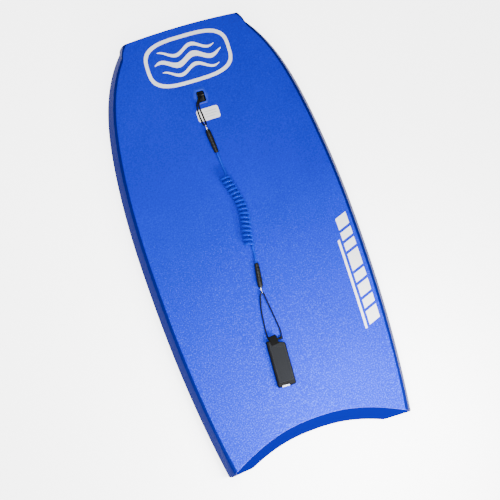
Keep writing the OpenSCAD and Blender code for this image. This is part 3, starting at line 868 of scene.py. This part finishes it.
loops = [plug_loop(lambda a: r, z) for r, z in (
    (7.9, 8.5 - PLUG_DEPTH), (7.9, -16.2), (17.7, -16), (17.9, -15), (17.9, -1.2))]
loops += [plug_loop(lambda a: hex_radius(a, grow), z) for grow, z in ((-0.6, -0.95), (0, -0.6), (0, 0.5))]
loops += [plug_loop(lambda a: facet_radius(a, t), 0.5 + 2.3 * t ** 0.85) for t in np.linspace(0.15, 1, 5)]
loops.append(plug_loop(lambda a: facet_radius(a, 1) - 0.3, 3.0))
loops += [plug_loop(lambda a: pocket_radius(a, grow), z, POCKET_Y) for grow, z in (
    (0.8, 2.95), (0.3, 2.7), (0, 2.1), (0, 0), (0, -4), (0, -8), (0, -11.4), (-0.5, -12.5), (-1.6, -13),
    (-5, -13), (-8, -13))]
verts, faces = loft(loops)
piece("plug_body", verts, faces, "plug_plastic", stands_for=("plug_top",), sharp=30)


def lathe(name, profile, sides, place, slot, stands_for, carve=None, sharp=30, finish_name=None):
    """A closed turned form from (radius, height) points. carve(angle, height) is cut off the radius."""
    loops = []
    for r, h in profile:
        loop = []
        for k in range(sides):
            a = 2 * math.pi * k / sides
            reach = max(0.05, r - (carve(a, h) if carve else 0))
            loop.append(place((reach * math.cos(a), reach * math.sin(a), h)))
        loops.append(loop)
    verts, faces = loft(loops)
    piece(name, verts, faces, slot, "board", stands_for, sharp, finish_name)


def arc_points(cx, cz, r, start, end, count):
    return [(cx + r * math.cos(math.radians(a)), cz + r * math.sin(math.radians(a)))
            for a in np.linspace(start, end, count)]


def base_point(p):
    """The base's underside has two coin slots across it."""
    x, y, z = p
    r = math.hypot(x, y)
    if z < -1.6 and 6 < r < 19:
        for c, s in ((0.5, 0.866), (0.5, -0.866)):
            off = abs(x * s - y * c)
            if off < 2.6:
                z += 1.3 * min(1, (2.6 - off) / 0.9) * min(1, (r - 6) / 1.2) * min(1, (19 - r) / 1.2)
    return at_plug((x, y, z - PLUG_DEPTH))


base = [(0.3, -3.2)] + [(r, -3.2) for r in np.linspace(3, 18.6, 27)]
base += arc_points(18.8, -2.2, 1.0, -90, -12, 6) + arc_points(21, -0.7, 0.5, -30, 90, 5)
base += [(13.2, -0.2), (12.95, 0.2), (12.95, PLUG_DEPTH - 18.5), (12.5, PLUG_DEPTH - 18),
         (8.4, PLUG_DEPTH - 18), (8.1, PLUG_DEPTH - 18.5), (8.1, 3.2), (0.3, 3.0)]
lathe("plug_base_cap", base, 120, base_point, "rail_foam", ("plug_base",), sharp=35, finish_name="base_plastic")


def bar_point(x, a, r):
    return at_plug((x, 2 + r * math.cos(a), -5 + r * math.sin(a)))


# three turns of 36 steps each round the plug's bar
hitch_path = [bar_point(-4.6 + 9.2 * k / 108, 2 * math.pi * (k / 36 + 0.2), 4.25) for k in range(109)]
hitch = tube("string_turns", hitch_path, STRING_R, 12, "string_cord", stands_for=("string_hitch",))


# ---- grips ----
def turn_matrix(at, pitch, yaw):
    return (Matrix.Translation(at) @ Matrix.Rotation(math.radians(yaw), 4, "Z")
            @ Matrix.Rotation(math.radians(pitch), 4, "X"))


def slots(angle, h):
    """Five rounded slots above and five below, cut into the grip."""
    depth = 0.0
    for k in range(5):
        off = abs(h + 49 - 8 * k)
        for centre in (math.pi / 2, 3 * math.pi / 2):
            turn = abs((angle - centre + math.pi) % (2 * math.pi) - math.pi) * 6.2
            inside = max(0, 1 - max(0, math.hypot(max(0, turn - 1.6), off) - 0.7) / 0.7)
            depth = max(depth, 2.0 * inside * inside * (3 - 2 * inside))
    return depth


outer = [(4.6, -60.9), (5.4, -59), (6.5, -44), (7, -24), (7.1, -12), (6.6, -5), (5.2, -0.6), (4.4, -0.05)]
shape = [(2.6, -60.2)] + bezier((3.4, -61), (4.9, -61), (5.3, -59.2), 5)
shape += [(float(np.interp(h, [o[1] for o in outer], [o[0] for o in outer])), float(h))
          for h in np.linspace(-58.6, -1, 150)]
shape += bezier((5.3, -0.7), (5.0, 0), (4.2, 0), 4) + [(2.2, 0.0), (1.6, -0.3)]
# a fine raised ring near each end, as the mould leaves it
shape = [(r + 0.35 * math.exp(-((h + 56.4) / 0.9) ** 2) + 0.3 * math.exp(-((h + 3.6) / 0.8) ** 2), h)
         for r, h in shape]
for word, at, pitch, yaw in (("upper", (-17, 275, 68.4), 3.4, 4.5), ("lower", (-21, -135, 63.3), 0, 170.7)):
    m = turn_matrix(at, pitch, yaw)
    lathe("grip_moulding_" + word, shape, 72, lambda p: tuple(m @ Vector((p[0], p[2], -p[1]))), "grip_rubber",
          ("grip_" + word,), carve=slots, sharp=45)


# ---- knot ----
knot_turn = turn_matrix((-14.6, -266, 60.6), 0, 4)
knot_path = []
for k in range(97):
    t = k / 96
    a = 2 * math.pi * 1.9 * t + 0.6
    knot_path.append(tuple(knot_turn @ Vector((-3.9 + 7.8 * t, 2.35 * math.cos(a), 2.35 * math.sin(a)))))
knot = tube("string_knot_turns", knot_path, STRING_R, 12, "string_cord", stands_for=("string_knot",))


# ---- wrist cuff ----
CUFF_W, CUFF_LEN, FOLD_Y, PAD_T, FLAP_Z, FOLD_R = 45, 108, 6.5, 7, 10, 8.5
SKEW = math.tan(math.radians(16))
cuff_frame = Matrix.Translation((-39.5, -378, 56.1)) @ Matrix.Rotation(math.radians(-4), 4, "Z")


def at_cuff(p):
    return tuple(cuff_frame @ Vector(p))


def layer(name, width, start, end, z, thick, corner, edge, slot, body, stands_for, bulge=0.0):
    """A layer of the cuff: straight at the fold, cut off skewed with round corners at its end."""
    half = width / 2

    def place(col, row, h):
        x = across(col, half, edge)
        far = end - x * SKEW - corner_cut(x, half, corner)
        y = start + (far - start) * (row[0] + 1) / 2 if row[1] is None else far - row[1]
        rise = bulge * min(1, (y - start) / 15) * (1 - (x / half) ** 2) * (1 if h > z + thick / 2 else -0.3)
        return at_cuff((x, y, h + rise))

    rows = [(-1 + 2 * k / 50, None) for k in range(50)] + [(1, e * edge) for e in reversed(EDGE)]
    verts, faces = plate(borders(24, edge), rows, place, z + thick, z, edge)
    return piece(name, verts, faces, slot, body, stands_for)


def fold_piece(name, width, r_in, r_out, start, end, shift, slot, stands_for, edge):
    """A band round the fold, with the layers' rounded section."""
    section = []
    half, mid = width / 2, (r_in + r_out) / 2
    thick = r_out - r_in
    for sx, sr in ((-1, 1), (1, 1), (1, -1), (-1, -1)):
        part = []
        for e in EDGE:
            part.append((sx * (half - e * edge), mid + sr * (thick / 2 - edge * (1 - arch(e)))))
        if sx * sr > 0:
            part = part[::-1]
        section += part
        if (sx, sr) == (-1, 1):
            section += [(x, r_out) for x in np.linspace(-half + edge, half - edge, 12)[1:-1]]
        if (sx, sr) == (1, -1):
            section += [(x, r_in) for x in np.linspace(half - edge, -half + edge, 12)[1:-1]]
    loops = []
    for a in np.linspace(math.radians(start), math.radians(end), 20):
        loops.append([at_cuff((shift + x, FOLD_Y - r * math.sin(a), FOLD_R - r * math.cos(a)))
                      for x, r in section])
    verts, faces = loft(loops)
    obj = piece(name, verts, faces, slot, None, stands_for)
    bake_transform(obj)
    return obj


PAD_EDGE = 3.3
base_pad = layer("cuff_pad_under", CUFF_W, FOLD_Y, CUFF_LEN, 0, PAD_T, 4, PAD_EDGE, "cuff_neoprene", "board",
                 ("cuff_base",))
flap_pad = layer("cuff_pad_over", CUFF_W, FOLD_Y, CUFF_LEN, FLAP_Z, PAD_T, 4, PAD_EDGE, "cuff_neoprene",
                 "cuff_strap", ("cuff_flap",))
fold_pad = fold_piece("cuff_pad_fold", CUFF_W, FOLD_R - PAD_T, FOLD_R, 0, 180, 0, "cuff_neoprene",
                      ("cuff_fold",), PAD_EDGE)
layer("cuff_loop_strip", CUFF_W - 6, FOLD_Y + 4, CUFF_LEN - 3, PAD_T, 1.4, 3, 0.5, "cuff_pile", "board",
      ("cuff_loop_patch",))
layer("cuff_hook_strip", CUFF_W - 8, 36, CUFF_LEN - 4, 8.8, 1.2, 3, 0.4, "cuff_hooks", "cuff_strap",
      ("cuff_hook_patch",))
WEB_W, WEB_T = CUFF_W - 7, 1.4
layer("cuff_webbing_face", WEB_W, FOLD_Y + 2, CUFF_LEN - 1.5, FLAP_Z + PAD_T, WEB_T, 3, 0.6, "cuff_webbing",
      "cuff_strap", ("cuff_webbing",), bulge=0.25)
fold_piece("cuff_tag", 18, FOLD_R + 0.05, FOLD_R + 0.55, 98, 145, -4, "tag_cloth", ("cuff_label",), 0.2)


STITCH, STITCH_T = 2.9, 0.55


def stitches(name, path):
    """A row of short raised threads along a path on the cuff's webbing."""
    path = np.array(path, float)
    runs = along(path)
    verts, faces = [], []
    for k in range(int(runs[-1] / STITCH)):
        ends = [at_run(path, runs, (k + f) * STITCH) for f in (0.16, 0.84)]
        t = (ends[1] - ends[0]) / np.linalg.norm(ends[1] - ends[0])
        s = np.cross(t, (0, 0, 1))
        s /= np.linalg.norm(s)
        u = np.cross(s, t)
        loops = []
        for f, r, sink in ((0, 0.45, 0.28), (0.18, 0.85, 0.1), (0.5, 1, 0), (0.82, 0.85, 0.1), (1, 0.45, 0.28)):
            c = ends[0] + (ends[1] - ends[0]) * f - u * STITCH_T * sink
            loops.append([tuple(c + STITCH_T / 2 * r * (math.cos(a) * s + math.sin(a) * u))
                          for a in np.linspace(0, 2 * math.pi, 8, endpoint=False)])
        v, q = loft(loops)
        faces += [[i + len(verts) for i in face] for face in q]
        verts += v
    piece(name, verts, faces, "cuff_webbing", "cuff_strap", sharp=80, finish_name="thread")


face_z = FLAP_Z + PAD_T + WEB_T
half = WEB_W / 2 - 2
for word, x in (("left", -half), ("right", half)):
    stitches("cuff_stitches_" + word,
             [at_cuff((x, y, face_z + 0.1)) for y in np.linspace(FOLD_Y + 4, 104 - x * SKEW, 40)])
for k, y in enumerate((FOLD_Y + 4, 96)):
    stitches("cuff_stitches_across_%d" % (k + 1),
             [at_cuff((x, y - (x * SKEW if k else 0), face_z + 0.28 - 0.25 * (x / half) ** 2))
              for x in np.linspace(-half, half, 30)])


TAB_X, TAB_Y, TAB_EDGE = 10, 11.5, 0.7


def tab_place(col, row, h):
    x, y = rounded(col, row, TAB_X, TAB_Y, TAB_EDGE, 1.8)
    c, s = math.cos(math.radians(10)), math.sin(math.radians(10))
    droop = 0.9 * max(0, y / TAB_Y) ** 2
    return at_cuff((-5 + x * c - y * s, 112.5 + x * s + y * c, face_z + h - droop))


verts, faces = plate(borders(14, TAB_EDGE), borders(20, TAB_EDGE), tab_place, 2.8, 0.12, TAB_EDGE)
piece("cuff_pull_tab", verts, faces, "cuff_neoprene", "cuff_strap", ("cuff_tab",), finish_name="tab_rubber")


def loop_line(t, x):
    """Centre line and normal of the string's loop at the cuff's end, seen from the side."""
    start = CUFF_LEN - x * SKEW - 1.0
    cy, cz, r = 113.5, 4.5, 3.0
    run, bend = cy - start, math.pi * r
    s = t * (2 * run + bend)
    if s < run:
        return (start + s, cz - r), (0, -1)
    if s < run + bend:
        a = -math.pi / 2 + (s - run) / r
        return (cy + r * math.cos(a), cz + r * math.sin(a)), (math.cos(a), math.sin(a))
    return (cy - (s - run - bend), cz + r), (0, 1)


LOOP_EDGE = 0.35


def loop_place(col, row, h):
    x = -1.5 + across(col, 6.5, LOOP_EDGE)
    (y, z), (ny, nz) = loop_line((row[0] + 1) / 2, x)
    return at_cuff((x, y + ny * h, z + nz * h))


rows = [(-1 + 2 * k / 48, None) for k in range(49)]
verts, faces = plate(borders(12, LOOP_EDGE), rows, loop_place, 0.6, -0.6, LOOP_EDGE)
piece("cuff_string_loop", verts, faces, "cuff_webbing", "board", ("cuff_anchor",))

# ---- the cords' paths and facts, handed to cord(), which keeps none of them ----
cord(leash, leash_path, CORD_R, far_end="object", stiffness="medium", lay="coiled")
cord(upper, upper_path, STRING_R, far_end="object", stiffness="limp", lay="loose", with_pieces=[hitch])
cord(lower, lower_path, STRING_R, far_end="knot", stiffness="limp", lay="loose", with_pieces=[knot])

# ---- CAD nodes that stay ----
kept = {"foam_core": "core_foam", "rail_core_left": "core_foam", "rail_core_right": "core_foam",
        "stringer_tube": "stringer_composite", "stringer_caps": "black_plastic", "plug_bar": "black_plastic"}
for word in ("upper", "lower"):
    for part in ("eye", "barrel", "pin"):
        kept["swivel_%s_%s" % (part, word)] = "swivel_metal"
for name, slot in kept.items():
    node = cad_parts[name]
    node.data.materials.clear()
    node.data.materials.append(finish[slot].material)

# ---- floor and light ----
FLOOR_HALF, FLOOR_Z = 30, -0.0004
mesh = bpy.data.meshes.new("floor")
mesh.from_pydata([(x * FLOOR_HALF, y * FLOOR_HALF, FLOOR_Z) for x, y in ((-1, -1), (1, -1), (1, 1), (-1, 1))],
                 [], [(0, 1, 2, 3)])
floor = bpy.data.objects.new("floor", mesh)
bpy.context.scene.collection.objects.link(floor)
f = Finish("floor", (0.9, 0.9, 0.9), 0.9, Specular_IOR_Level=0.1, Emission_Color=(1.0, 1.0, 1.0),
           Emission_Strength=4.2)
f.color(f.mix(f.noise(3, 2), (0.89, 0.89, 0.9), (0.91, 0.91, 0.91)))
mesh.materials.append(f.material)

world = bpy.context.scene.world or bpy.data.worlds.new("world")
bpy.context.scene.world = world
world.use_nodes = True
background = next(n for n in world.node_tree.nodes if n.type == "BACKGROUND")
background.inputs["Color"].default_value = (1, 1, 1, 1)
background.inputs["Strength"].default_value = 0.25


def softbox(name, at, aim, size, power):
    light = bpy.data.lights.new(name, "AREA")
    light.shape = "RECTANGLE"
    light.size, light.size_y = size
    light.energy = power
    obj = bpy.data.objects.new(name, light)
    bpy.context.scene.collection.objects.link(obj)
    obj.location = at
    obj.visible_camera = False
    obj.rotation_mode = "QUATERNION"
    obj.rotation_quaternion = (Vector(aim) - Vector(at)).to_track_quat("-Z", "Y")


softbox("key", (0.14, -0.62, 0.58), (0.14, -0.58, 0.0), (0.6, 0.2), 21)
softbox("middle", (-0.24, 0.0, 1.2), (-0.20, 0.0, 0.0), (0.8, 0.8), 20)
